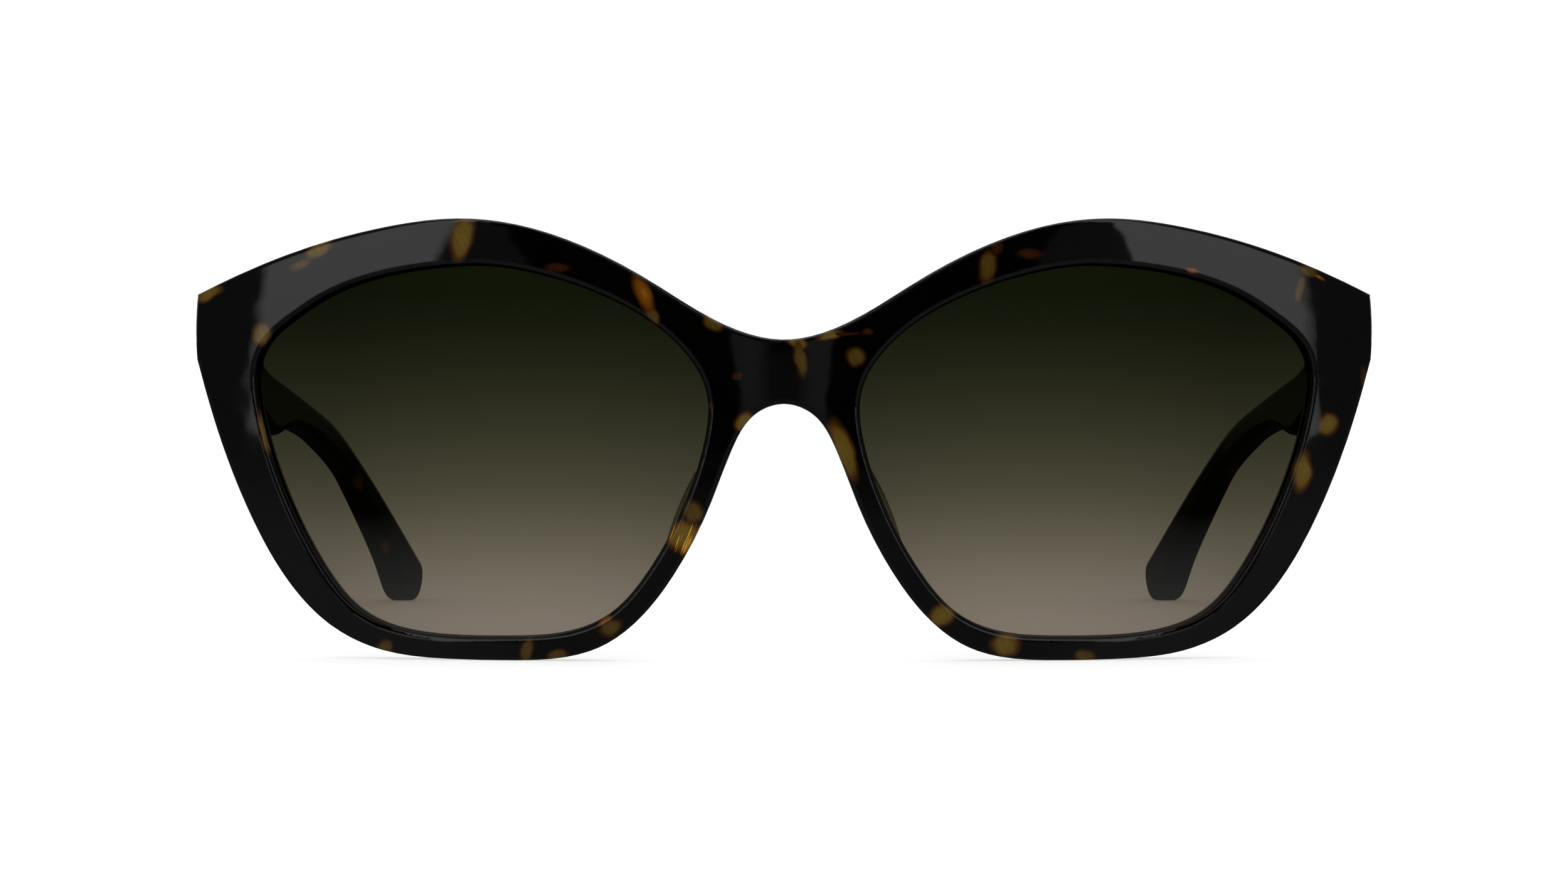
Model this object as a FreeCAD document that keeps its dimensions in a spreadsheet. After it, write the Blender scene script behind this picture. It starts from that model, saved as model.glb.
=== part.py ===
import FreeCAD, Part

# Cat eye sunglasses: an acetate front with two tinted lenses, and two folding temples on
# five-knuckle hinges.  Millimetres, +Z up.  The front faces -Y and the temples run back along +Y.
# The wearer's left is +X.  Every piece is drawn about a datum point: the foremost point of the
# bridge, at eye level.  Placements then put that datum above and in front of the origin, which is
# the middle of the footprint, on the surface that the rims and the temple tips stand on.

import math
import os

from FreeCAD import Placement, Rotation, Vector

DIMENSIONS = {
    # the front
    "front_width": 146.0,
    "front_height": 53.75,
    "front_curve": 240.0,  # radius of the front face, seen from above
    "front_thickness": 4.2,
    "outer_edge_round": 0.5,
    "rim_round": 0.6,
    # the lenses and their groove
    "lens_opening_width": 55.9,
    "lens_opening_height": 45.35,
    "groove_setback": 1.1,  # from the front face to the groove
    "groove_depth": 0.8,
    "groove_width": 2.0,
    "lens_clearance": 0.03,
    # the end-pieces
    "end_piece_depth": 17.0,  # from the datum back to the butt of the temple
    "end_piece_inside": 65.5,
    "end_piece_taper": 0.6,
    "end_piece_bottom": 4.6,
    "end_piece_slope": 0.9,  # how steeply its underside drops towards the rim
    # the nose pads
    "pad_lean": 22.0,  # degrees, top towards the nose
    # the temples
    "temple_butt_gap": 0.05,
    "temple_round": 1.1,
    "temple_inside": 68.2,  # from the middle to the temple's inner face, at the hinge
    "core_width": 1.0,
    "core_height": 1.5,
    # the hinges
    "hinge_offset": 67.7,  # from the middle of the front to the hinge's axis
    "hinge_height": 9.6,
    "knuckle_radius": 1.6,
    "knuckle_height": 1.2,
    "knuckle_gap": 0.06,
    "barrel_relief": 0.15,
    "running_clearance": 0.04,
    "screw_radius": 0.6,
    "screw_head_radius": 1.15,
    "screw_head_height": 0.6,
    "screw_slot": 0.3,
    "foot_width": 3.0,
    "web_width": 2.1,
    "foot_depth": 2.8,
    "foot_height": 5.0,
    "foot_setback": 4.4,  # from the butt to the front of the foot
    "plate_thickness": 1.0,
    "plate_length": 7.4,
    "plate_height": 4.2,
    "plate_start": 2.2,  # from the butt to the plate
    "rivet_first": 4.6,  # from the butt
    "rivet_second": 8.0,
    "rivet_shank_radius": 0.5,
    "rivet_length": 3.2,
    "rivet_head_radius": 0.9,
    "rivet_head_height": 0.3,
    # the datum, seen from the origin
    "eye_level": 26.9,
    "half_length": 74.6,
    # further than any cut has to go
    "reach": 100.0,
}

# The outlines below are drawn at this size of front and of lens opening, and stretched from it.
DRAWN_WIDTH = 146.0
DRAWN_HEIGHT = 53.75
DRAWN_OPENING = (55.9, 45.35)
OPENING_MIDDLE = (37.2, -1.4)

# Right half of the brow line, from the middle of the bridge to the pointed corner.
BROW = [(0, 12.0), (8, 14.2), (16, 19.0), (26.5, 24.25), (33.5, 26.25), (40, 26.85),
        (48, 26.05), (59.5, 23.25), (72.75, 17.95)]
# The flat side of the end-piece, from the corner down.
SIDE = [(72.75, 17.95), (73.0, 14.0), (72.85, 9.9)]
# Right half of the lower line, from the end-piece round the rim to the middle of the bridge.
LOWER = [(72.85, 9.9), (69.8, 0), (65.7, -9.7), (61.1, -17.35), (55.25, -23.05), (49.0, -25.8),
         (41, -26.75), (33, -26.85), (27, -26.5), (22, -25.05), (17.7, -21.95), (13, -15.9),
         (9.1, -8.3), (6.1, -0.75), (3.8, 2.75), (0, 4.25)]
# The wearer's left lens opening, clockwise from the top.
OPENING = [(38.5, 21.25), (48.8, 20.05), (56.95, 17.1), (60.3, 14.95), (63.2, 12.6), (64.85, 9.8),
           (65.1, 6.8), (64.45, 2.65), (63.35, -1.5), (62.05, -5.15), (60.5, -8.75),
           (58.2, -13.15), (55.3, -17.6), (52.95, -20.2), (49.9, -22.15), (46.1, -23.35),
           (42.05, -23.9), (34.0, -24.05), (26.9, -23.55), (21.8, -21.65), (16.9, -16.65),
           (12.45, -8.8), (9.55, 0), (9.3, 5.45), (13.0, 11.6), (20.4, 16.7), (29.0, 19.9)]
# Sections through the nose pad from the rim backwards: depth, half length and half thickness.
PAD_SECTIONS = [(3.6, 8.3, 1.75), (5.6, 7.7, 1.6), (7.6, 6.6, 1.35), (9.2, 5.1, 1.0),
                (10.1, 3.4, 0.6), (10.4, 1.6, 0.25)]
PAD_LENS_SIDE = (12.95, -8.4)  # middle of the pad's straight side, which faces the lens
# The temple from the side: (y, z) along its top edge, round the tip, and along its lower edge.
TEMPLE_TOP = [(17.0, 17.3), (25, 13.4), (33, 10.5), (50, 7.8), (77, 4.6), (93, 2.0), (109, -2.8),
              (129, -11.1), (147.6, -20.2)]
TEMPLE_TIP = [(147.6, -20.2), (149.2, -22.6), (147.8, -25.6), (144.5, -26.9)]
TEMPLE_HEEL = [(144.5, -26.9), (141.6, -26.4), (136, -22.2), (130, -17.9), (122.5, -13.5),
               (115, -9.6), (108, -6.4), (100, -3.9), (91, -1.9), (81, -0.1), (70, 1.1), (60, 1.6),
               (53, 1.1), (46, 0.5), (37, 2.3), (28, 4.1), (17.0, 5.1)]
# The temple from above: (x, y) along its faces, x counted from its inner face at the hinge.
TEMPLE_INSIDE = [(0, 15), (0, 30), (-0.2, 60), (-1.6, 100), (-4.2, 125), (-8.1, 152)]
TEMPLE_OUTSIDE = [(4.6, 15), (4.4, 30), (3.6, 60), (2.3, 100), (0.2, 125), (-3.7, 152)]
# The core wire's middle line, from above (x counted in the same way) and from the side.
CORE_PLAN = [(2.3, 32), (1.7, 60), (0.3, 100), (-2.1, 125), (-5.0, 144)]
CORE_SIDE = [(32, 7.0), (50, 4.3), (77, 2.5), (93, 0.1), (109, -4.6), (129, -14.0), (144, -22.0)]

# How far the core wire's plan runs past its ends, which the side view cuts off.
CORE_OVERRUN = 4.0
CORE_OVERRUN_INWARD = 0.8  # how far it bends inward over that length at the tip
ON_CURVE = 0.5  # how close to a drawn curve an edge's middle has to be to count as lying on it
ON_FACE = 0.05  # how close to the front's curved face an edge has to be to count as lying on it
PAST_BUTT = 0.01  # how far behind the temple's butt an edge has to reach to run along the temple

doc = FreeCAD.newDocument("cat_eye_sunglasses")
sheet = doc.addObject("Spreadsheet::Sheet", "dimensions")


def fill_sheet():
    for row, (alias, value) in enumerate(DIMENSIONS.items(), start=1):
        sheet.set(f"A{row}", alias)
        sheet.set(f"B{row}", str(value))
        sheet.setAlias(f"B{row}", alias)
    doc.recompute()


def size(alias):
    return float(sheet.get(alias))


def bind(thing, **expressions):
    """Ties properties to cells. An alias is written with a leading $, a property's dot as __."""
    for name, expression in expressions.items():
        thing.setExpression(name.replace("__", "."), expression.replace("$", "dimensions."))


# ---------------------------------------------------------------- outlines

def front_points(points):
    across = size("front_width") / DRAWN_WIDTH
    up = size("front_height") / DRAWN_HEIGHT
    return [(x * across, z * up) for x, z in points]


def opening_points(outward):
    """The lens opening's points, stretched to size and moved outward by a distance."""
    across = size("lens_opening_width") / DRAWN_OPENING[0]
    up = size("lens_opening_height") / DRAWN_OPENING[1]
    middle_x, middle_z = OPENING_MIDDLE
    points = []
    for x, z in OPENING:
        points.append(Vector(middle_x + (x - middle_x) * across, middle_z + (z - middle_z) * up, 0))
    curve = Part.BSplineCurve()
    curve.interpolate(points, PeriodicFlag=True)
    moved = []
    for point in points:
        along = curve.tangent(curve.parameter(point))[0]
        moved.append((point.x - along.y * outward, point.y + along.x * outward))
    return moved


def mirrored(points):
    return [(-x, z) for x, z in points]


def spline(points):
    curve = Part.BSplineCurve()
    curve.interpolate([Vector(x, y, 0) for x, y in points])
    return curve


def loop(points):
    curve = Part.BSplineCurve()
    curve.interpolate([Vector(x, y, 0) for x, y in points], PeriodicFlag=True)
    return curve


def polyline(points):
    return [Part.LineSegment(Vector(*a, 0), Vector(*b, 0)) for a, b in zip(points, points[1:])]


def front_arc(depth, half_width):
    """The curve of the front seen from above, at a depth behind its face, and where it ends."""
    centre = size("front_curve")
    radius = centre - depth
    rise = centre - (radius**2 - half_width**2) ** 0.5
    left, right = Vector(-half_width, rise, 0), Vector(half_width, rise, 0)
    return Part.Arc(left, Vector(0, depth, 0), right), rise


# ---------------------------------------------------------------- makers

def at(x="0", y="0", z="0"):
    """A place given from the datum, as expressions for a Placement."""
    return {
        "Placement__Base__x": x,
        "Placement__Base__y": f"{y} - $half_length",
        "Placement__Base__z": f"{z} + $eye_level",
    }


def new_body(name):
    body = doc.addObject("PartDesign::Body", name)
    bind(body, **at())
    return body


def new_sketch(body, name, role, curves, lift=0.0):
    """A sketch on one of the body's own origin planes, moved along its normal by lift."""
    plane = next(p for p in body.Origin.OriginFeatures if p.Role == role)
    sketch = body.newObject("Sketcher::SketchObject", name)
    sketch.AttachmentSupport = [(plane, "")]
    sketch.MapMode = "FlatFace"
    sketch.AttachmentOffset = Placement(Vector(0, 0, lift), Rotation())
    sketch.addGeometry(curves, False)
    doc.recompute()
    return sketch


def through_pad(body, name, sketch):
    pad = body.newObject("PartDesign::Pad", name)
    pad.Profile = sketch
    pad.Midplane = True
    bind(pad, Length="2 * $reach")
    doc.recompute()
    return pad


def through_pocket(body, name, sketch):
    before = body.Tip.Shape.Volume
    pocket = body.newObject("PartDesign::Pocket", name)
    pocket.Profile = sketch
    pocket.Midplane = True
    bind(pocket, Length="2 * $reach")
    doc.recompute()
    if not pocket.Shape.Volume < before:
        raise RuntimeError(f"{name} cuts nothing")
    return pocket


def round_off(body, name, edges, radius):
    """A fillet on the edges that a test picks from the body's tip."""
    base = body.Tip
    names = [f"Edge{i}" for i, edge in enumerate(base.Shape.Edges, start=1) if edges(edge)]
    if not names:
        raise RuntimeError(f"{name} finds no edges")
    feature = body.newObject("PartDesign::Fillet", name)
    feature.Base = (base, names)
    bind(feature, Radius=radius)
    doc.recompute()
    return feature


def block(name, sizes, place):
    solid = doc.addObject("Part::Box", name)
    length, width, height = sizes
    bind(solid, Length=length, Width=width, Height=height, **at(*place))
    return solid


def cylinder(name, radius, height, place):
    solid = doc.addObject("Part::Cylinder", name)
    bind(solid, Radius=radius, Height=height, **at(*place))
    return solid


def fused(name, shapes):
    result = doc.addObject("Part::MultiFuse", name)
    result.Shapes = shapes
    return result


def common(name, base, tool):
    result = doc.addObject("Part::Common", name)
    result.Base = base
    result.Tool = tool
    return result


def cut(name, base, tool):
    result = doc.addObject("Part::Cut", name)
    result.Base = base
    result.Tool = tool
    return result


def mirror(name, source):
    result = doc.addObject("Part::Mirroring", name)
    result.Source = source
    result.Base = Vector(0, 0, 0)
    result.Normal = Vector(1, 0, 0)
    return result


# ---------------------------------------------------------------- the front

def on_face(edge, setback):
    """Whether an edge lies on the front's curved face, at a depth behind it."""
    centre = Vector(0, size("front_curve"), 0)
    radius = size("front_curve") - setback
    middle = edge.valueAt((edge.FirstParameter + edge.LastParameter) / 2)
    ends = [vertex.Point for vertex in edge.Vertexes] + [middle]
    return all(abs(Vector(p.x, p.y, 0).distanceToPoint(centre) - radius) < ON_FACE for p in ends)


def in_opening(edge):
    """Whether an edge, seen from the front, runs along a lens opening."""
    middle = edge.valueAt((edge.FirstParameter + edge.LastParameter) / 2)
    spot = Part.Vertex(Vector(abs(middle.x), middle.z, 0))
    return loop(opening_points(0)).toShape().distToShape(spot)[0] < ON_CURVE


def make_front_blank():
    """The acetate front: its outline, its curve, its end-pieces and its two openings."""
    body = new_body("front_blank")
    brow, side, lower = (front_points(points) for points in (BROW, SIDE, LOWER))
    edges = [
        spline(mirrored(brow)[::-1] + brow[1:]),
        spline(side),
        spline(lower + mirrored(lower)[-2::-1]),
        spline(mirrored(side)),
    ]
    outline = new_sketch(body, "front_outline", "XZ_Plane", edges)
    through_pad(body, "front_pad", outline)

    reach = size("reach")
    arc, rise = front_arc(0, reach)
    ahead = [(reach, rise), (reach, -reach), (-reach, -reach), (-reach, rise)]
    sketch = new_sketch(body, "front_face", "XY_Plane", [arc] + polyline(ahead))
    through_pocket(body, "front_face_cut", sketch)

    inside, butt = size("end_piece_inside"), size("end_piece_depth")
    foot = inside - size("end_piece_taper")
    arc, rise = front_arc(size("front_thickness"), foot)
    behind = [(foot, rise), (inside, butt), (reach, butt), (reach, reach)]
    behind += mirrored(behind)[::-1]
    sketch = new_sketch(body, "rear_face", "XY_Plane", [arc] + polyline(behind))
    through_pocket(body, "rear_face_cut", sketch)

    openings = opening_points(0)
    loops = [loop(openings), loop(mirrored(openings))]
    sketch = new_sketch(body, "openings", "XZ_Plane", loops)
    through_pocket(body, "openings_cut", sketch)
    return body


def round_front(body):
    """Softens the front face's edges, round the openings and round the outline."""
    def outer_front(edge):
        return on_face(edge, 0) and not in_opening(edge)

    def opening_front(edge):
        return on_face(edge, 0) and in_opening(edge)

    round_off(body, "opening_rounds", opening_front, "$rim_round")
    round_off(body, "outer_round", outer_front, "$outer_edge_round")


def curved_solid(name, depth):
    """Everything behind a face that has the front's curve, at a depth behind the front's face."""
    place = ("0", "$front_curve", "-$front_height")
    return cylinder(name, f"$front_curve - {depth}", "2 * $front_height", place)


def curved_sheet(name, front, back):
    """A sheet bent to the front's curve, between two depths behind the front's face."""
    outer = curved_solid(name + "_outer", front)
    inner = curved_solid(name + "_inner", back)
    return cut(name, outer, inner)


def opening_prism(name, outward):
    """A solid with the lens opening's outline, from in front of the frame to behind it."""
    body = new_body(name)
    sketch = new_sketch(body, name + "_outline", "XZ_Plane", [loop(opening_points(outward))])
    pad = body.newObject("PartDesign::Pad", name + "_pad")
    pad.Profile = sketch
    pad.Reversed = True
    bind(pad, Length="2 * $end_piece_depth")
    doc.recompute()
    return body


def make_lens():
    blank = opening_prism("lens_blank", size("groove_depth") - size("lens_clearance"))
    stock = curved_sheet(
        "lens_stock",
        "($groove_setback + $lens_clearance)",
        "($groove_setback + $groove_width - $lens_clearance)",
    )
    return common("lens_left", blank, stock)


def make_groove():
    blank = opening_prism("groove_blank", size("groove_depth"))
    stock = curved_sheet("groove_stock", "$groove_setback", "($groove_setback + $groove_width)")
    return common("groove_left", blank, stock)


def pad_outline(half_length, half_thickness):
    """An oval that leans with the pad and touches the line of its lens side."""
    lean = math.radians(size("pad_lean"))
    along = Vector(-math.sin(lean), math.cos(lean), 0)
    across = Vector(math.cos(lean), math.sin(lean), 0)
    middle = Vector(*PAD_LENS_SIDE, 0) - across * half_thickness
    return Part.Ellipse(middle + along * half_length, middle + across * half_thickness, middle)


def make_nose_pad():
    """The pad glued behind the rim: it splays outward as it goes back, and its end is rounded."""
    body = new_body("pad_blank")
    sketches = []
    for number, (depth, half_length, half_thickness) in enumerate(PAD_SECTIONS, start=1):
        oval = pad_outline(half_length, half_thickness)
        sketches.append(new_sketch(body, f"pad_section_{number}", "XZ_Plane", [oval], -depth))
    loft = body.newObject("PartDesign::AdditiveLoft", "pad_loft")
    loft.Profile = sketches[0]
    loft.Sections = sketches[1:]
    doc.recompute()
    return common("nose_pad_left", body, curved_solid("rim_rear", "$front_thickness"))


# ---------------------------------------------------------------- the temples

def bar(name, side, plan):
    """A curved bar: its outline from the side, kept between two lines seen from above."""
    body = new_body(name)
    sketch = new_sketch(body, name + "_side", "YZ_Plane", side)
    through_pad(body, name + "_pad", sketch)
    inside, outside = plan
    far = 2 * size("reach")
    slot = [spline(inside), spline(outside)]
    slot += polyline([inside[0], outside[0]])
    slot += polyline([inside[-1], outside[-1]])
    frame = [(-far, -far), (far, -far), (far, far), (-far, far), (-far, -far)]
    sketch = new_sketch(body, name + "_plan", "XY_Plane", slot + polyline(frame))
    through_pocket(body, name + "_plan_cut", sketch)
    return body


def shifted(points, across, up):
    return [(x + across, y + up) for x, y in points]


def make_temple_blank():
    butt = size("end_piece_depth") + size("temple_butt_gap")
    top = [(butt, TEMPLE_TOP[0][1])] + TEMPLE_TOP[1:]
    heel = TEMPLE_HEEL[:-1] + [(butt, TEMPLE_HEEL[-1][1])]
    side = [spline(top), spline(TEMPLE_TIP), spline(heel)] + polyline([heel[-1], top[0]])
    across = size("temple_inside")
    plan = [shifted(TEMPLE_INSIDE, across, 0), shifted(TEMPLE_OUTSIDE, across, 0)]
    body = bar("temple_blank", side, plan)

    def long_edge(edge):
        return any(vertex.Point.y > butt + PAST_BUTT for vertex in edge.Vertexes)

    round_off(body, "temple_edges", long_edge, "$temple_round")
    return body


def make_core_wire():
    half_up, half_across = size("core_height") / 2, size("core_width") / 2
    top, bottom = shifted(CORE_SIDE, 0, half_up), shifted(CORE_SIDE, 0, -half_up)
    side = [spline(top), spline(bottom)]
    side += polyline([top[0], bottom[0]]) + polyline([top[-1], bottom[-1]])
    middle = size("temple_inside")
    plan = [shifted(CORE_PLAN, middle + across, 0) for across in (-half_across, half_across)]
    for line in plan:
        line.insert(0, (line[0][0], line[0][1] - CORE_OVERRUN))
        line.append((line[-1][0] - CORE_OVERRUN_INWARD, line[-1][1] + CORE_OVERRUN))
    return bar("core_wire_left", side, plan)


# ---------------------------------------------------------------- the hinges

HINGE_X = "$hinge_offset"
HINGE_Y = "$end_piece_depth"
PITCH = "($knuckle_height + $knuckle_gap)"
STACK = "(5 * $knuckle_height + 4 * $knuckle_gap)"


def knuckle_bottom(level):
    """Height of a knuckle's lower face, levels 0 to 4 from the bottom."""
    return f"$hinge_height - {STACK} / 2 + {level} * {PITCH}"


def upright(name, radius, height, bottom):
    """A cylinder about the hinge's axis."""
    return cylinder(name, radius, height, (HINGE_X, HINGE_Y, bottom))


def make_front_leaf():
    """Three knuckles on a foot that is sunk into the end-piece."""
    foot = block(
        "front_foot",
        ("$foot_width", "$foot_depth", "$foot_height"),
        (
            f"{HINGE_X} - $foot_width / 2",
            f"{HINGE_Y} - $foot_setback",
            "$hinge_height - $foot_height / 2",
        ),
    )
    web_sizes = ("$web_width", "$foot_setback - $foot_depth / 2", "$knuckle_height")
    pieces = [foot]
    for level in (0, 2, 4):
        bottom = knuckle_bottom(level)
        knuckle = upright(f"front_knuckle_{level}", "$knuckle_radius", "$knuckle_height", bottom)
        place = (
            f"{HINGE_X} - $web_width / 2",
            f"{HINGE_Y} - $foot_setback + $foot_depth / 2",
            bottom,
        )
        pieces += [knuckle, block(f"front_web_{level}", web_sizes, place)]
    solid = fused("front_leaf_solid", pieces)
    bore = upright("front_bore", "$screw_radius", f"2 * {STACK}", f"$hinge_height - {STACK}")
    return cut("front_hinge_leaf_left", solid, bore)


def make_rivets():
    """Two rivets through the temple's leaf, with their heads on the inner side."""
    pieces = []
    for number, back in enumerate(("$rivet_first", "$rivet_second"), start=1):
        head_start = "$temple_inside - $rivet_head_height"
        for kind, length, start in (
            ("shank", "$rivet_length", "$temple_inside"),
            ("head", "$rivet_head_height", head_start),
        ):
            radius = f"$rivet_{kind}_radius"
            place = (start, f"{HINGE_Y} + {back}", "$hinge_height")
            piece = cylinder(f"rivet_{kind}_{number}", radius, length, place)
            piece.Placement.Rotation = Rotation(Vector(0, 1, 0), 90)
            pieces.append(piece)
    return fused("temple_hinge_rivets_left", pieces)


def make_temple_leaf(rivets):
    """Two knuckles on a plate let into the temple's inner face."""
    plate = block(
        "temple_plate",
        ("$plate_thickness", "$plate_length", "$plate_height"),
        ("$temple_inside", f"{HINGE_Y} + $plate_start", "$hinge_height - $plate_height / 2"),
    )
    web_sizes = (
        f"$temple_inside + $plate_thickness - {HINGE_X} - $knuckle_gap",
        "$plate_start",
        "$knuckle_height",
    )
    pieces = [plate]
    for level in (1, 3):
        bottom = knuckle_bottom(level)
        knuckle = upright(f"temple_knuckle_{level}", "$knuckle_radius", "$knuckle_height", bottom)
        place = (f"{HINGE_X} + $knuckle_gap", f"{HINGE_Y} + $plate_start / 6", bottom)
        pieces += [knuckle, block(f"temple_web_{level}", web_sizes, place)]
    solid = fused("temple_leaf_solid", pieces)
    radius = "$screw_radius + $running_clearance"
    bore = upright("temple_bore", radius, f"2 * {STACK}", f"$hinge_height - {STACK}")
    return cut("temple_hinge_leaf_left", solid, fused("temple_leaf_holes", [bore, rivets]))


def make_screw():
    top = f"$hinge_height + {STACK} / 2"
    shank = upright("screw_shank", "$screw_radius", STACK, f"$hinge_height - {STACK} / 2")
    head = upright("screw_head", "$screw_head_radius", "$screw_head_height", top)
    slot = block(
        "screw_slot_cut",
        ("4 * $screw_head_radius", "$screw_slot", "$screw_slot"),
        (
            f"{HINGE_X} - 2 * $screw_head_radius",
            f"{HINGE_Y} - $screw_slot / 2",
            f"{top} + $screw_head_height - $screw_slot",
        ),
    )
    return cut("hinge_screw_left", fused("screw_solid", [shank, head]), slot)


def barrel_room(name):
    """The round space that the knuckles and the screw's head turn in."""
    return upright(
        name,
        "$knuckle_radius + $barrel_relief",
        f"{STACK} + $screw_head_height + 2 * $barrel_relief",
        f"$hinge_height - {STACK} / 2 - $barrel_relief",
    )


def leaf_recess():
    """The flat pocket in the temple's inner face that the leaf's plate fills."""
    length = "$plate_start + $plate_length + $plate_thickness"
    return block(
        "leaf_recess",
        ("4 * $plate_thickness", length, "$plate_height"),
        (
            "$temple_inside - 3 * $plate_thickness",
            f"{HINGE_Y} - $plate_thickness",
            "$hinge_height - $plate_height / 2",
        ),
    )


# ---------------------------------------------------------------- the whole

def below_end_pieces():
    """The room behind the rims' rear face and under both end-pieces."""
    butt, bottom, slope = (size("end_piece_" + word) for word in ("depth", "bottom", "slope"))
    back, low, drop = butt + size("reach"), bottom - size("reach"), butt * slope
    side = [(back, bottom), (butt, bottom), (0, bottom - drop), (0, low), (back, low)]
    body = new_body("below_end_pieces_blank")
    sketch = new_sketch(body, "below_end_pieces_side", "YZ_Plane", polyline(side + side[:1]))
    through_pad(body, "below_end_pieces_pad", sketch)
    return common("below_end_pieces", body, curved_solid("rims_rear", "$front_thickness"))


def make_front_frame(blank, leaf):
    groove = make_groove()
    grooves = [groove, mirror("groove_right", groove)]
    room = barrel_room("front_barrel_room")
    seat = fused("front_hinge_seat", [room, leaf])
    tools = grooves + [seat, mirror("front_hinge_seat_right", seat), below_end_pieces()]
    return cut("front_frame", blank, fused("front_cuts", tools))


def make_temple(leaf_rivets, wire):
    blank = make_temple_blank()
    tools = [barrel_room("temple_barrel_room"), leaf_recess(), leaf_rivets, wire]
    return cut("temple_left", blank, fused("temple_cuts", tools))


def make_all():
    blank = make_front_blank()
    round_front(blank)
    front_leaf = make_front_leaf()
    rivets = make_rivets()
    wire = make_core_wire()
    lefts = [
        make_lens(),
        make_nose_pad(),
        make_temple(rivets, wire),
        wire,
        front_leaf,
        make_temple_leaf(rivets),
        make_screw(),
        rivets,
    ]
    pieces = [make_front_frame(blank, front_leaf)]
    for left in lefts:
        pieces.append(left)
        pieces.append(mirror(left.Name.replace("_left", "_right"), left))
    doc.recompute()
    return pieces


def check(pieces):
    for thing in doc.Objects:
        if "Invalid" in thing.State or "Error" in thing.State:
            raise RuntimeError(f"{thing.Name} failed: {thing.State}")
    for piece in pieces:
        if piece.Shape.isNull() or not piece.Shape.isValid():
            raise RuntimeError(f"{piece.Name} has no valid shape")


def export(pieces):
    os.makedirs("parts", exist_ok=True)
    for piece in pieces:
        piece.Shape.exportStep(f"parts/{piece.Label}.step")
        print(piece.Label, round(piece.Shape.Volume, 1), "mm3")


fill_sheet()
pieces = make_all()
check(pieces)
export(pieces)
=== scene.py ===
import math

import bpy
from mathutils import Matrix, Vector


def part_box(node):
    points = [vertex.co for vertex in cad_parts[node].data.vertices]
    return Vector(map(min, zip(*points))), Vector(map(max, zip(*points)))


# Cat eye sunglasses on a pale floor.  Metres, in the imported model's own frame: the front faces -Y,
# the wearer's left is +X.  Sizes on the object are given in millimetres from the datum, which is
# the foremost point of the bridge, at eye level.

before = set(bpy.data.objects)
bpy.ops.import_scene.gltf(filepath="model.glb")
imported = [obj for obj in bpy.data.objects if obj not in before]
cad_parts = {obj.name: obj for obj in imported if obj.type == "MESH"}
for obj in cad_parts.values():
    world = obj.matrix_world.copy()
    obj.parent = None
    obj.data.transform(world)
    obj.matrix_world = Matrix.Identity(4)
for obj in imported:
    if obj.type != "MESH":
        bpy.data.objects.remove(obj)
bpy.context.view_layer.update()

MM = 0.001
EYE_LEVEL = 0.0269
front_low, _front_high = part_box("front_frame")
DATUM = Vector((0.0, front_low.y, EYE_LEVEL))

CAMERA_DISTANCE = 0.375
FOCAL_WIDTHS = 1.986  # focal length over the width of the view
SENSOR_WIDTH = 36.0
NEAREST_SEEN = 0.01

# Brightness of the studio, where 1 is white in the picture.
STUDIO_WHITE = 1.1  # just past white, so that paper and background look the same
PANEL_LOW = 0.98  # the two large front panels, at eye level and above it
PANEL_HIGH = 1.16
DIM_WALL = 0.08
STRIP = 0.165  # the pair of narrow strips straight ahead
STRIP_GAP = 0.3  # brightness between the strips, as a share of theirs
STRIP_GAP_HIGH = 0.04  # the same higher up
GLOW_AHEAD = 0.1  # below eye level
GLOW_ASIDE = 0.16
GLOW_BEHIND = 0.05
BACK_WALL = 0.45
BACK_WALL_LOW = 0.08

# Places in the studio that gloss mirrors, in degrees.  "Aside" is how far to either side of straight
# ahead, and "height" is above eye level.
# A slanted border: two heights, and how far aside the border is at each.
PANEL_INNER = (3.3, 3.9, 26.7, 25.2)
PANEL_OUTER = (1.2, 3.0, 41.8, 40.3)
WALL_EDGE = (3.25, 3.8, 19.4, 21.1)
STRIP_OUTER = (0.7, 1.9, 3.35, 4.0)
# A change from one level to another: where it starts and where it ends.
PANEL_BRIGHTENS = (0.0, 4.0)  # in height
GAP_DARKENS = (1.3, 1.75)  # in height
GAP_ENDS = (0.8, 2.2)  # aside
GLOW_SETS_IN = (-0.1, -1.9)  # in height
GLOW_GROWS = (16.0, 29.0)  # aside
GLOW_FADES = (60.0, 100.0)  # aside
BACK_WALL_FOOT = (-0.6, 0.8)  # in height
BACK_WALL_STARTS = (95.0, 130.0)  # aside
PANEL_FOOT = 0.08  # height of the panels' lower edge

# Lights on the paper and on matt surfaces: place from the datum, width and height, brightness.
SIDE_BOX = ((0.9, 0.35, 0.35), (0.5, 0.7), 0.9)
TOP_BOX = ((0.0, 0.2, 0.9), (0.8, 0.5), 0.8)


# ------------------------------------------------------------------ node helpers

def new_material(name):
    material = bpy.data.materials.new(name)
    material.use_nodes = True
    material.node_tree.nodes.clear()
    return material, material.node_tree


def connect(tree, socket, value):
    """Sets a socket to a value, or links it from another socket."""
    if isinstance(value, bpy.types.NodeSocket):
        tree.links.new(value, socket)
    else:
        socket.default_value = value


def add(tree, kind, inputs=(), **settings):
    """A node with its settings, and its inputs by name: a value, or a socket to link from."""
    node = tree.nodes.new(kind)
    for name, value in settings.items():
        setattr(node, name, value)
    for name, value in dict(inputs).items():
        connect(tree, node.inputs[name], value)
    return node


def calc(tree, operation, *values):
    node = add(tree, "ShaderNodeMath", operation=operation)
    for socket, value in zip(node.inputs, values):
        connect(tree, socket, value)
    return node.outputs["Value"]


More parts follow.
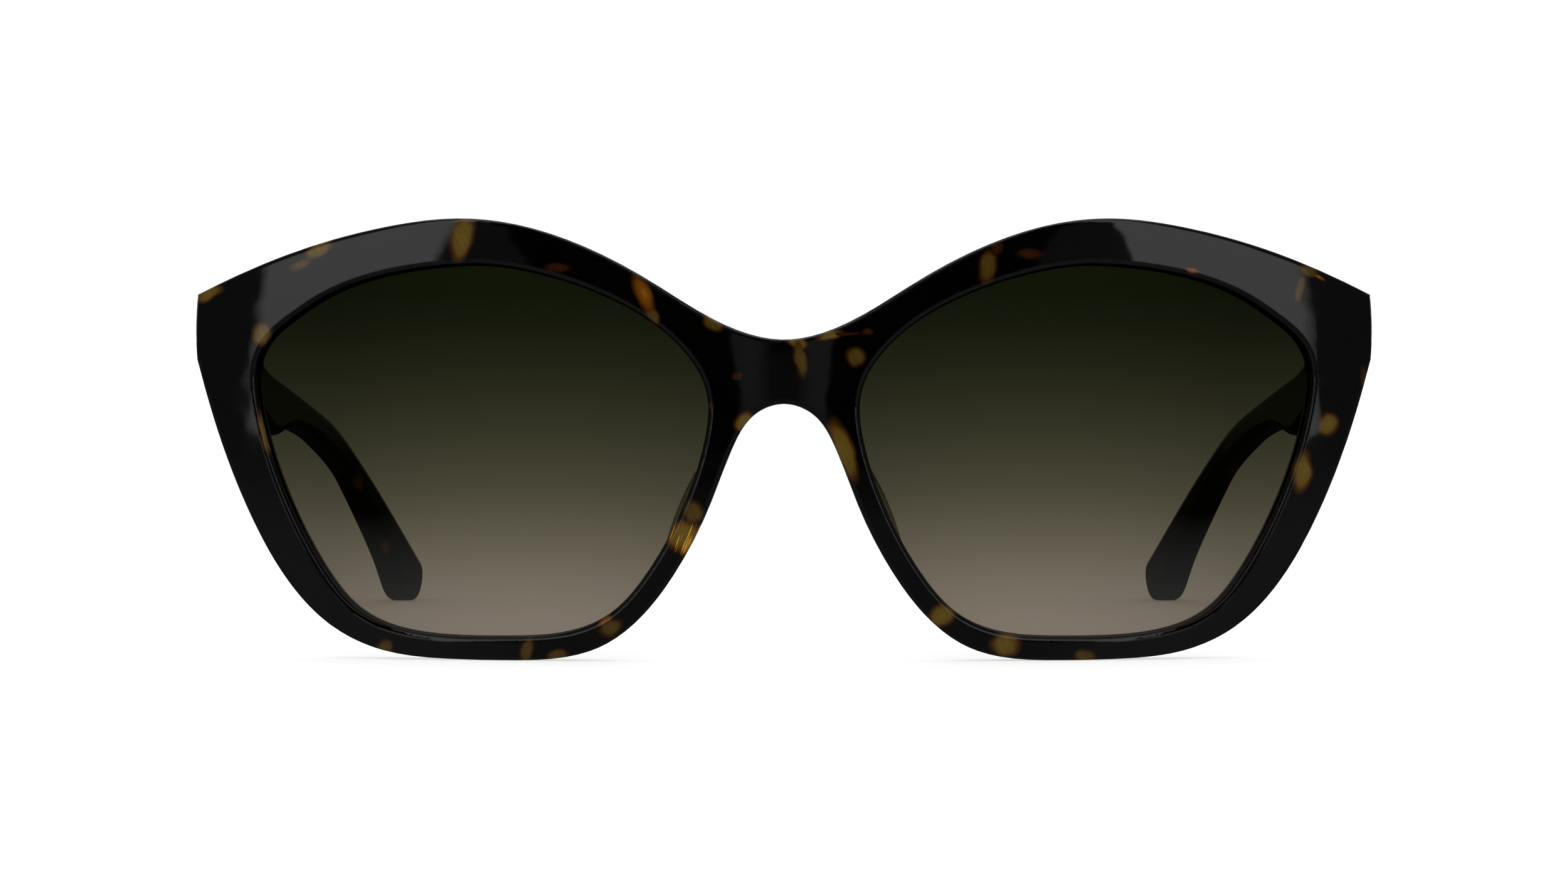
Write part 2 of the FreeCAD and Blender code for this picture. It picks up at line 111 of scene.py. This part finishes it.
def vector_calc(tree, operation, first, second=None, scale=None):
    node = add(tree, "ShaderNodeVectorMath", operation=operation)
    connect(tree, node.inputs[0], first)
    if second is not None:
        connect(tree, node.inputs[1], second)
    if scale is not None:
        connect(tree, node.inputs["Scale"], scale)
    return node.outputs["Value"] if operation == "LENGTH" else node.outputs["Vector"]


def ramp(tree, factor, stops, interpolation="LINEAR"):
    node = add(tree, "ShaderNodeValToRGB", {"Fac": factor})
    node.color_ramp.interpolation = interpolation
    elements = node.color_ramp.elements
    while len(elements) < len(stops):
        elements.new(0.5)
    for element, (place, colour) in zip(elements, stops):
        element.position = place
        element.color = (*colour, 1.0)
    return node.outputs["Color"]


def mix(tree, factor, first, second, blend="MIX"):
    node = add(tree, "ShaderNodeMix", data_type="RGBA", blend_type=blend)
    for name, value in (("Factor", factor), ("A", first), ("B", second)):
        socket = next(s for s in node.inputs if s.name == name and s.enabled)
        connect(tree, socket, value)
    return next(s for s in node.outputs if s.enabled)


def span(tree, value, start, end, first, last, smooth=True):
    """A number that goes from first to last as a value goes from start to end."""
    kind = "SMOOTHSTEP" if smooth else "LINEAR"
    return add(tree, "ShaderNodeMapRange", {
        "Value": value,
        "From Min": start,
        "From Max": end,
        "To Min": first,
        "To Max": last,
    }, interpolation_type=kind).outputs["Result"]


def noise(tree, place, scale, detail, roughness=0.5, output="Fac"):
    """Soft noise with features about 1 / scale apart."""
    return add(tree, "ShaderNodeTexNoise", {
        "Vector": place,
        "Scale": scale,
        "Detail": detail,
        "Roughness": roughness,
    }).outputs[output]


def bump(tree, height, strength, distance, normal=None):
    inputs = {"Height": height, "Strength": strength, "Distance": distance}
    if normal is not None:
        inputs["Normal"] = normal
    return add(tree, "ShaderNodeBump", inputs).outputs["Normal"]


def bsdf(tree, kind, inputs):
    return add(tree, f"ShaderNodeBsdf{kind}", inputs).outputs["BSDF"]


def mix_shaders(tree, share, first, second):
    """Two shaders in one surface, the second with the share given."""
    node = add(tree, "ShaderNodeMixShader", {"Fac": share})
    connect(tree, node.inputs[1], first)
    connect(tree, node.inputs[2], second)
    return node.outputs["Shader"]


def finish_surface(tree, shader):
    add(tree, "ShaderNodeOutputMaterial", {"Surface": shader})


def place_in_mm(tree):
    """The surface point in millimetres from the datum."""
    coordinates = add(tree, "ShaderNodeTexCoord").outputs["Object"]
    offset = vector_calc(tree, "SUBTRACT", coordinates, DATUM)
    return vector_calc(tree, "SCALE", offset, scale=1 / MM)


# ------------------------------------------------------------------ tortoise acetate

# Patches in the front's acetate, all the way through it: middle x and z, half width and half
# height, tilt in degrees (top towards +X), tone.
FRONT_PATCHES = [
    (-71.2, 18.0, 1.7, 0.75, -25, "moss"),
    (-57.0, 23.2, 1.8, 0.8, -22, "moss"),
    (-59.4, 21.5, 1.6, 0.6, -25, "olive"),
    (-39.1, 24.4, 1.3, 2.7, 12, "moss"),
    (-64.5, 13.0, 1.25, 1.4, 0, "moss"),
    (-63.9, 0.7, 0.6, 2.7, -14, "moss"),
    (-48.8, -25.5, 1.0, 1.0, -20, "olive"),
    (-27.2, 20.7, 1.6, 0.5, 5, "rust"),
    (-17.0, 17.6, 0.95, 2.3, -25, "amber"),
    (-15.8, 15.1, 0.6, 1.1, -35, "olive"),
    (-8.6, 13.9, 1.2, 0.85, 25, "olive"),
    (-5.6, 7.7, 0.7, 0.5, 0, "rust"),
    (-8.9, 3.9, 0.4, 0.6, 0, "rust"),
    (-4.8, 2.1, 1.0, 1.3, 35, "moss"),
    (1.6, 11.6, 1.2, 0.6, 10, "moss"),
    (2.0, 9.6, 0.7, 2.2, -12, "olive"),
    (5.5, 12.5, 1.5, 0.45, -12, "moss"),
    (7.6, 12.7, 1.5, 0.2, 0, "rust"),
    (9.9, 12.8, 0.8, 0.45, -10, "rust"),
    (8.7, 9.85, 1.15, 1.0, 20, "olive"),
    (7.2, -1.3, 1.15, 3.7, -20, "moss"),
    (-10.9, -8.8, 1.2, 1.3, 0, "olive"),
    (-11.8, -11.9, 2.2, 1.9, 20, "gold"),
    (-20.9, -22.9, 1.4, 1.0, -30, "olive"),
    (-21.6, -22.0, 1.0, 0.35, -35, "amber"),
    (-31.2, -25.6, 0.75, 1.6, 8, "olive"),
    (-27.4, -26.3, 1.4, 0.7, -10, "olive"),
    (19.0, -21.3, 1.6, 1.2, -40, "moss"),
    (26.8, -24.8, 1.8, 1.5, 0, "moss"),
    (36.6, -26.4, 1.2, 0.9, 0, "olive"),
    (24.6, 20.8, 1.1, 1.9, 12, "olive"),
    (25.6, 23.1, 0.8, 0.9, 45, "rust"),
    (29.8, 22.4, 1.5, 0.6, 0, "rust"),
    (49.9, 20.6, 0.9, 0.3, 12, "amber"),
    (64.6, 20.8, 1.2, 0.8, 25, "olive"),
    (66.0, 19.9, 0.9, 0.25, 25, "amber"),
    (63.6, 18.4, 0.55, 1.6, 12, "olive"),
    (67.3, 1.9, 1.2, 1.5, 25, "moss"),
    (71.7, 7.8, 0.5, 1.3, 10, "rust"),
    (63.9, -4.2, 1.1, 2.4, 10, "moss"),
]
# Patches in the temples: middle x, y, z and half sizes, tilt in degrees (back end downwards), tone.
TEMPLE_PATCHES = [
    (-66.2, 109.5, -7.0, 0.9, 3.2, 1.3, 35, "amber"),
    (-64.6, 129.5, -17.6, 0.9, 2.6, 1.1, 35, "amber"),
    (-72.4, 24.5, 10.5, 1.5, 3.4, 2.2, -25, "moss"),
    (-71.8, 44.0, 4.6, 1.6, 4.6, 1.3, 12, "amber"),
    (-70.8, 71.0, 3.2, 1.8, 5.2, 1.0, 4, "moss"),
    (-69.4, 92.0, 0.2, 1.4, 2.6, 1.4, 25, "amber"),
    (-67.6, 119.0, -9.5, 1.5, 4.0, 1.0, 35, "moss"),
    (-64.6, 142.0, -21.5, 1.6, 2.6, 1.6, 40, "amber"),
    (-69.6, 36.0, 8.2, 1.0, 2.2, 1.0, 15, "olive"),
    (66.8, 95.0, -1.4, 0.8, 2.6, 0.9, 20, "olive"),
    (72.5, 21.0, 8.0, 1.4, 2.6, 3.0, 10, "amber"),
    (72.2, 34.5, 7.6, 1.5, 4.2, 1.4, 20, "moss"),
    (71.6, 56.0, 4.4, 1.6, 3.0, 1.8, -10, "amber"),
    (70.6, 80.0, 1.4, 1.8, 5.4, 1.0, 12, "moss"),
    (69.0, 103.0, -3.6, 1.4, 3.0, 1.3, 30, "amber"),
    (66.6, 126.0, -12.6, 1.6, 4.4, 1.2, 38, "amber"),
    (63.8, 144.0, -22.5, 1.4, 2.4, 1.5, 20, "moss"),
]
THROUGH = 1000.0  # half depth of a patch that goes right through
# Each tone from the middle of a patch to its edge, as light that the acetate gives back.
TONES = {
    "moss": [(0.085, 0.056, 0.009), (0.075, 0.045, 0.006), (0.04, 0.015, 0.002)],
    "olive": [(0.047, 0.030, 0.005), (0.042, 0.025, 0.004), (0.024, 0.009, 0.001)],
    "amber": [(0.15, 0.055, 0.004), (0.09, 0.032, 0.002), (0.045, 0.012, 0.001)],
    "rust": [(0.02, 0.007, 0.001), (0.016, 0.005, 0.001), (0.008, 0.002, 0.001)],
    "gold": [(0.09, 0.064, 0.010), (0.085, 0.055, 0.007), (0.06, 0.022, 0.002)],
}
TONE_PLACES = (0.0, 0.55, 1.0)  # how far from the middle each of the three is, 1 at the edge
PATCH_FADE = (1.3, 0.75)  # from where a patch hides nothing to where it hides the ground colour
UNEVEN_LENGTH = 2.8  # wavelength of the uneven edges of the patches
UNEVEN_REACH = 1.0
THREAD_SIZE = (0.26, 5.0, 6.0)  # a thread's width, depth and length
THREAD_SHADES = (0.35, 0.68, 0.85, 1.14)  # noise from and to, and the shading there
GLINT_THREADS = (0.57, 0.66)  # noise from which a thread of the gold tone gets a painted glint
PAINTED_GOLD_GLINTS = (0.6, 0.25, 0.02)  # painted glints: bright threads through the gold tone that stand in for caustic light
BASE_BLACK = (0.0004, 0.0003, 0.0003)
BASE_WARM = (0.0011, 0.0007, 0.0005)
ACETATE_IOR = 1.49
POLISHED = (0.012, 0.04)  # roughness, from where the polish is best to where wipe marks are
SOFT_EDGE = 0.25 * MM
FACE_ON_SHARE = 0.04  # what clear plastic mirrors when seen face-on


def uneven_place(tree, place):
    """The place, pushed about by noise so that patches get uneven edges."""
    push = noise(tree, place, 1 / UNEVEN_LENGTH, 1.0, output="Color")
    push = vector_calc(tree, "SUBTRACT", push, (0.5, 0.5, 0.5))
    push = vector_calc(tree, "SCALE", push, scale=UNEVEN_REACH)
    return vector_calc(tree, "ADD", place, push)


def front_patch(patch):
    x, z, half_x, half_z, tilt, tone = patch
    turn = (0.0, math.radians(tilt), 0.0)
    return (x, 0.0, z), (half_x, THROUGH, half_z), turn, tone


def temple_patch(patch):
    x, y, z, half_x, half_y, half_z, tilt, tone = patch
    turn = (-math.radians(tilt), 0.0, 0.0)
    return (x, y, z), (half_x, half_y, half_z), turn, tone


def patch_field(tree, place, patches):
    """How far a place is from the nearest patch's middle, 1 at that patch's edge."""
    nearest = None
    for middle, halves, turn, _tone in patches:
        mapping = add(tree, "ShaderNodeMapping", {
            "Vector": place,
            "Location": middle,
            "Rotation": turn,
            "Scale": halves,
        }, vector_type="TEXTURE")
        distance = vector_calc(tree, "LENGTH", mapping.outputs["Vector"])
        nearest = distance if nearest is None else calc(tree, "MINIMUM", nearest, distance)
    return nearest


def threads(tree, place, turn):
    """Noise drawn out into fine lines along a patch's height."""
    drawn_out = add(tree, "ShaderNodeMapping", {
        "Vector": place,
        "Rotation": turn,
        "Scale": THREAD_SIZE,
    }, vector_type="TEXTURE").outputs["Vector"]
    return noise(tree, drawn_out, 0.9, 2.0, roughness=0.55)


def lay_patches(tree, colour, place, uneven, patches, stops, lines=None):
    """Covers the colour with patches of one tone, faintly lined, or with painted glints: bright lines
    of a colour that stand in for caustic light.
    """
    field = patch_field(tree, uneven, patches)
    tint = ramp(tree, field, list(zip(TONE_PLACES, stops)), "EASE")
    lined = threads(tree, place, patches[0][2])
    shades = span(tree, lined, *THREAD_SHADES, smooth=False)
    tint = mix(tree, 1.0, tint, shades, "MULTIPLY")
    if lines:
        # painted glints: where the threads pass a level, the tint turns to a bright colour standing in
        # for caustic light
        bright = span(tree, lined, *GLINT_THREADS, 0.0, 1.0)
        tint = mix(tree, bright, tint, (*lines, 1.0))
    cover = span(tree, field, *PATCH_FADE, 0.0, 1.0)
    return mix(tree, cover, colour, tint)


def acetate_colour(tree, place, patches):
    """Near-black ground, a little warmer in clouds, with the patches of each tone laid on it; the gold
    tone carries painted caustic glints.
    """
    clouds = noise(tree, place, 0.08, 2.0)
    colour = ramp(tree, clouds, [(0.35, BASE_BLACK), (0.75, BASE_WARM)])
    uneven = uneven_place(tree, place)
    for tone, stops in TONES.items():
        chosen = [patch for patch in patches if patch[-1] == tone]
        if chosen:
            # only the gold tone gets painted glints, standing in for caustic light
            lines = PAINTED_GOLD_GLINTS if tone == "gold" else None
            colour = lay_patches(tree, colour, place, uneven, chosen, stops, lines)
    return colour


def acetate(name, patches):
    """Dark tortoise with soft edges, hand-polished: mirror-like, with faint wipe marks."""
    material, tree = new_material(name)
    place = place_in_mm(tree)
    wipe_marks = noise(tree, place, 0.35, 5.0)
    ripple = noise(tree, place, 0.22, 1.0)
    edges = add(tree, "ShaderNodeBevel", {"Radius": SOFT_EDGE}, samples=4).outputs["Normal"]
    finish_surface(tree, bsdf(tree, "Principled", {
        "Base Color": acetate_colour(tree, place, patches),
        "Roughness": span(tree, wipe_marks, 0.3, 0.75, *POLISHED, smooth=False),
        "IOR": ACETATE_IOR,
        "Normal": bump(tree, ripple, 0.02, 0.5 * MM, edges),
    }))
    return material


def mirror_share(tree, grazing=1.0):
    """How much a clear plastic surface mirrors, from face-on to grazing, alike from both sides."""
    slant = add(tree, "ShaderNodeLayerWeight", {"Blend": 0.5}).outputs["Facing"]
    rise = calc(tree, "POWER", slant, 5.0)
    rise = calc(tree, "MULTIPLY", rise, grazing - FACE_ON_SHARE)
    return calc(tree, "ADD", rise, FACE_ON_SHARE)


# ------------------------------------------------------------------ lenses and nose pads

# The lenses' gradient. The share of light that comes through falls with height, red, green and blue
# each over a length of its own, down to a darkest share. Fitted to lens colours measured in the photo.
TINT_FOOT = -24.0  # height above the datum
TINT_TOP = 21.0
TINT_CLEAREST = (0.2, 0.165, 0.13)
TINT_LENGTH = (17.0, 18.5, 16.0)
TINT_DARKEST = (0.006, 0.008, 0.0025)
TINT_BEND = 1.4  # over 1, the fall starts gently
TINT_STOPS = 16
LENS_CENTRE = 30.5  # where the tint is lightest, from the middle of the front
LENS_FALL = 24.4  # distance over which it darkens to the share below
LENS_FALL_SHARE = 0.8
LENS_HAZE_HEIGHTS = (-9.0, -24.0)  # heights between which a faint haze sets in
LENS_HAZE = 0.022
LENS_SMEARS = 0.04  # roughness where the lens is least clean
COATING_TAKES = 0.0402  # a little more than bare plastic mirrors face-on
PAD_TINT_DARK = (0.6, 0.58, 0.54)
PAD_TINT_LIGHT = (0.68, 0.665, 0.63)
PAD_POLISH = (0.1, 0.16)  # roughness
PAD_RISE = 0.35  # what the pads mirror at a grazing slant, held down by their soft polish


def tint_share(height, clearest, length, darkest):
    """The share of one colour that comes through the whole lens at this height."""
    fall = ((height - TINT_FOOT) / length) ** TINT_BEND
    return max(clearest * math.exp(-fall), darkest)


def lens_tint(tree, axes):
    """The tint of one face. Light passes two, so each lets through the square root of the whole."""
    factor = span(tree, axes["Z"], TINT_FOOT, TINT_TOP, 0.0, 1.0, smooth=False)
    stops = []
    for number in range(TINT_STOPS):
        part = number / (TINT_STOPS - 1)
        height = TINT_FOOT + part * (TINT_TOP - TINT_FOOT)
        shares = [tint_share(height, *one) for one in zip(TINT_CLEAREST, TINT_LENGTH, TINT_DARKEST)]
        stops.append((part, [math.sqrt(share / STUDIO_WHITE) for share in shares]))
    off_centre = calc(tree, "SUBTRACT", calc(tree, "ABSOLUTE", axes["X"]), LENS_CENTRE)
    squared = calc(tree, "POWER", calc(tree, "ABSOLUTE", off_centre), 2.0)
    last = math.sqrt(LENS_FALL_SHARE)
    shade = span(tree, squared, 0.0, LENS_FALL**2, 1.0, last, smooth=False)
    return mix(tree, 1.0, ramp(tree, factor, stops), shade, "MULTIPLY")


def lens_glass():
    """Tinted plastic with a faint haze, under a coating that lets it mirror only at a slant."""
    material, tree = new_material("gradient_lens")
    place = place_in_mm(tree)
    axes = add(tree, "ShaderNodeSeparateXYZ", {"Vector": place}).outputs
    through = bsdf(tree, "Transparent", {"Color": lens_tint(tree, axes)})
    scatter = bsdf(tree, "Diffuse", {"Color": (1.0, 1.0, 1.0, 1.0)})
    haze = span(tree, axes["Z"], *LENS_HAZE_HEIGHTS, 0.0, LENS_HAZE, smooth=False)
    body = mix_shaders(tree, haze, through, scatter)
    smears = noise(tree, place, 0.2, 4.0)
    roughness = span(tree, smears, 0.0, 1.0, 0.0, LENS_SMEARS, smooth=False)
    gloss = bsdf(tree, "Glossy", {"Roughness": roughness})
    coated = calc(tree, "SUBTRACT", mirror_share(tree), COATING_TAKES)
    coated = calc(tree, "MAXIMUM", coated, 0.0)
    finish_surface(tree, mix_shaders(tree, coated, body, gloss))
    return material


def pad_acetate():
    """Clear smoke acetate, lightly clouded, with a soft polish."""
    material, tree = new_material("pad_acetate")
    cloud = noise(tree, place_in_mm(tree), 0.12, 1.0)
    tint = ramp(tree, cloud, [(0.3, PAD_TINT_DARK), (0.7, PAD_TINT_LIGHT)])
    through = bsdf(tree, "Transparent", {"Color": tint})
    gloss = bsdf(tree, "Glossy", {
        "Roughness": span(tree, cloud, 0.3, 0.7, *PAD_POLISH, smooth=False),
        "Normal": bump(tree, cloud, 0.02, 0.5 * MM),
    })
    finish_surface(tree, mix_shaders(tree, mirror_share(tree, PAD_RISE), through, gloss))
    return material


# ------------------------------------------------------------------ metals

NICKEL = (0.66, 0.62, 0.55)
NICKEL_ROUGHNESS = (0.2, 0.38)
NICKEL_GRAIN = 1.2
STEEL = (0.62, 0.62, 0.6)
STEEL_ROUGHNESS = (0.15, 0.3)
STEEL_GRAIN = 1.6
GRAIN_SHADE = 0.78  # colour in the grain's hollows, as a share of the metal's own
GRAIN_STRETCH = (6.0, 0.8, 6.0)


def metal(name, colour, roughness, grain):
    """Satin metal with fine drawn grain."""
    material, tree = new_material(name)
    lines = add(tree, "ShaderNodeMapping", {"Vector": place_in_mm(tree), "Scale": GRAIN_STRETCH})
    drawn = noise(tree, lines.outputs["Vector"], grain, 4.0)
    dark = [channel * GRAIN_SHADE for channel in colour]
    finish_surface(tree, bsdf(tree, "Principled", {
        "Base Color": ramp(tree, drawn, [(0.3, dark), (0.7, colour)]),
        "Metallic": 1.0,
        "Roughness": span(tree, drawn, 0.0, 1.0, *roughness, smooth=False),
        "Normal": bump(tree, drawn, 0.12, 0.05 * MM),
    }))
    return material


# ------------------------------------------------------------------ the stage

FLOOR_REACH = 3.0
SWEEP_START = 1.4  # where the paper begins to curve up behind the object
SWEEP_RADIUS = 0.9
SWEEP_STEPS = 24
SWEEP_TOP = 2.4
PAPER_OWN_LIGHT = 0.6  # the paper is lit from beneath, so shadows on it are faint
PAPER_DARK = (0.95, 0.95, 0.95)
PAPER_LIGHT = (0.98, 0.98, 0.98)
FIBRES_PER_METRE = 900.0


def sweep_profile():
    """The paper from the side: flat, then curved up into an upright wall."""
    line = [(-FLOOR_REACH, 0.0), (SWEEP_START, 0.0)]
    for number in range(1, SWEEP_STEPS + 1):
        turn = math.radians(90 * number / SWEEP_STEPS)
        rise = SWEEP_RADIUS * (1 - math.cos(turn))
        line.append((SWEEP_START + SWEEP_RADIUS * math.sin(turn), rise))
    line.append((SWEEP_START + SWEEP_RADIUS, SWEEP_TOP))
    return line


def floor_paper():
    material, tree = new_material("floor_paper")
    place = add(tree, "ShaderNodeTexCoord").outputs["Object"]
    fibre = noise(tree, place, FIBRES_PER_METRE, 3.0)
    matt = bsdf(tree, "Diffuse", {"Color": ramp(tree, fibre, [(0.2, PAPER_DARK), (0.8, PAPER_LIGHT)])})
    own = add(tree, "ShaderNodeEmission", {"Color": (1.0, 1.0, 1.0, 1.0), "Strength": STUDIO_WHITE})
    finish_surface(tree, mix_shaders(tree, PAPER_OWN_LIGHT, matt, own.outputs["Emission"]))
    return material


def make_floor():
    mesh = bpy.data.meshes.new("floor")
    corners = [(x, y, z) for y, z in sweep_profile() for x in (-FLOOR_REACH, FLOOR_REACH)]
    strips = [(n, n + 1, n + 3, n + 2) for n in range(0, len(corners) - 2, 2)]
    mesh.from_pydata(corners, [], strips)
    mesh.shade_smooth()
    mesh.materials.append(floor_paper())
    floor = bpy.data.objects.new("floor", mesh)
    bpy.context.collection.objects.link(floor)
    floor.visible_glossy = False


def past(tree, value, border, blur):
    """Rises from 0 to 1 as a value passes a border."""
    beyond = calc(tree, "SUBTRACT", value, border)
    return span(tree, beyond, -blur, blur, 0.0, 1.0)


def directions(tree):
    """Degrees away from straight ahead, to either side, and degrees above eye level."""
    looking = add(tree, "ShaderNodeTexCoord").outputs["Generated"]
    axes = add(tree, "ShaderNodeSeparateXYZ", {"Vector": looking}).outputs
    across = calc(tree, "ABSOLUTE", axes["X"])
    ahead = calc(tree, "MULTIPLY", axes["Y"], -1.0)
    aside = calc(tree, "DEGREES", calc(tree, "ARCTAN2", across, ahead))
    height = calc(tree, "DEGREES", calc(tree, "ARCSINE", axes["Z"]))
    return aside, height


def dim_walls(tree, aside, height):
    edge = span(tree, height, *WALL_EDGE, smooth=False)
    return calc(tree, "MULTIPLY", past(tree, aside, edge, blur=0.4), DIM_WALL)


def front_panels(tree, aside, height):
    inner = past(tree, aside, span(tree, height, *PANEL_INNER, smooth=False), blur=0.4)
    outer = past(tree, aside, span(tree, height, *PANEL_OUTER, smooth=False), blur=0.7)
    within = calc(tree, "SUBTRACT", inner, outer)
    above = past(tree, height, PANEL_FOOT, blur=0.08)
    level = span(tree, height, *PANEL_BRIGHTENS, PANEL_LOW, PANEL_HIGH, smooth=False)
    return calc(tree, "MULTIPLY", calc(tree, "MULTIPLY", within, above), level)


def bridge_strips(tree, aside, height):
    """Two narrow strips with a dimmer gap, which goes black higher up."""
    outer = past(tree, aside, span(tree, height, *STRIP_OUTER, smooth=False), blur=0.3)
    within = calc(tree, "SUBTRACT", 1.0, outer)
    gap = span(tree, height, *GAP_DARKENS, STRIP_GAP, STRIP_GAP_HIGH)
    shade = span(tree, aside, *GAP_ENDS, gap, 1.0, smooth=False)
    return calc(tree, "MULTIPLY", calc(tree, "MULTIPLY", within, shade), STRIP)


def glow_below(tree, aside):
    grown = span(tree, aside, *GLOW_GROWS, GLOW_AHEAD, GLOW_ASIDE)
    lost = span(tree, aside, *GLOW_FADES, 0.0, GLOW_ASIDE - GLOW_BEHIND)
    return calc(tree, "SUBTRACT", grown, lost)


def back_wall(tree, aside, height):
    level = span(tree, height, *BACK_WALL_FOOT, BACK_WALL_LOW, BACK_WALL)
    return calc(tree, "MULTIPLY", span(tree, aside, *BACK_WALL_STARTS, 0.0, 1.0), level)


def mirrored_studio(tree):
    """A black room with dim walls, two large panels, a pair of strips straight ahead, a glow below
    eye level and a pale wall at the back."""
    aside, height = directions(tree)
    above = calc(tree, "MAXIMUM", dim_walls(tree, aside, height), front_panels(tree, aside, height))
    above = calc(tree, "MAXIMUM", above, bridge_strips(tree, aside, height))
    below = span(tree, height, *GLOW_SETS_IN, 0.0, 1.0, smooth=False)
    room = mix(tree, below, above, glow_below(tree, aside))
    room = calc(tree, "MAXIMUM", room, back_wall(tree, aside, height))
    return calc(tree, "DIVIDE", room, STUDIO_WHITE)


def make_world():
    """White to the eye and on matt surfaces, while gloss mirrors the studio above."""
    world = bpy.data.worlds.new("studio")
    bpy.context.scene.world = world
    world.use_nodes = True
    tree = world.node_tree
    tree.nodes.clear()
    glossy = add(tree, "ShaderNodeLightPath").outputs["Is Glossy Ray"]
    level = mix(tree, glossy, (1.0, 1.0, 1.0, 1.0), mirrored_studio(tree))
    background = add(tree, "ShaderNodeBackground", {"Color": level, "Strength": STUDIO_WHITE})
    add(tree, "ShaderNodeOutputWorld", {"Surface": background.outputs["Background"]})


def softbox(name, offset, size, brightness):
    """A rectangular light of a given brightness that faces the datum from an offset."""
    width, height = size
    light = bpy.data.lights.new(name, "AREA")
    light.shape = "RECTANGLE"
    light.size = width
    light.size_y = height
    light.energy = brightness * math.pi * width * height
    holder = bpy.data.objects.new(name, light)
    bpy.context.collection.objects.link(holder)
    holder.location = DATUM + Vector(offset)
    holder.rotation_euler = (-Vector(offset)).to_track_quat("-Z", "Y").to_euler()
    holder.visible_camera = False


def make_lights():
    (x, y, z), size, brightness = SIDE_BOX
    softbox("side_box_left", (x, y, z), size, brightness)
    softbox("side_box_right", (-x, y, z), size, brightness)
    softbox("top_box", *TOP_BOX)


def make_camera():
    """Level with the datum, straight in front of it."""
    data = bpy.data.cameras.new("camera")
    data.sensor_width = SENSOR_WIDTH
    data.lens = SENSOR_WIDTH * FOCAL_WIDTHS
    data.clip_start = NEAREST_SEEN
    camera = bpy.data.objects.new("camera", data)
    bpy.context.collection.objects.link(camera)
    camera.location = DATUM - Vector((0, CAMERA_DISTANCE, 0))
    camera.rotation_euler = (math.radians(90), 0, 0)
    bpy.context.scene.camera = camera


def dress(node, material):
    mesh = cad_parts[node].data
    mesh.materials.clear()
    mesh.materials.append(material)


def dress_all():
    dress("front_frame", acetate("tortoise_front", [front_patch(patch) for patch in FRONT_PATCHES]))
    nickel = metal("hinge_nickel", NICKEL, NICKEL_ROUGHNESS, NICKEL_GRAIN)
    pairs = {
        "lens": lens_glass(),
        "nose_pad": pad_acetate(),
        "temple": acetate("tortoise_temple", [temple_patch(patch) for patch in TEMPLE_PATCHES]),
        "core_wire": nickel,
        "front_hinge_leaf": nickel,
        "temple_hinge_leaf": nickel,
        "temple_hinge_rivets": nickel,
        "hinge_screw": metal("screw_steel", STEEL, STEEL_ROUGHNESS, STEEL_GRAIN),
    }
    for piece, material in pairs.items():
        for side in ("left", "right"):
            dress(f"{piece}_{side}", material)


make_floor()
make_world()
make_lights()
make_camera()
dress_all()
bpy.context.scene.view_settings.view_transform = "Standard"
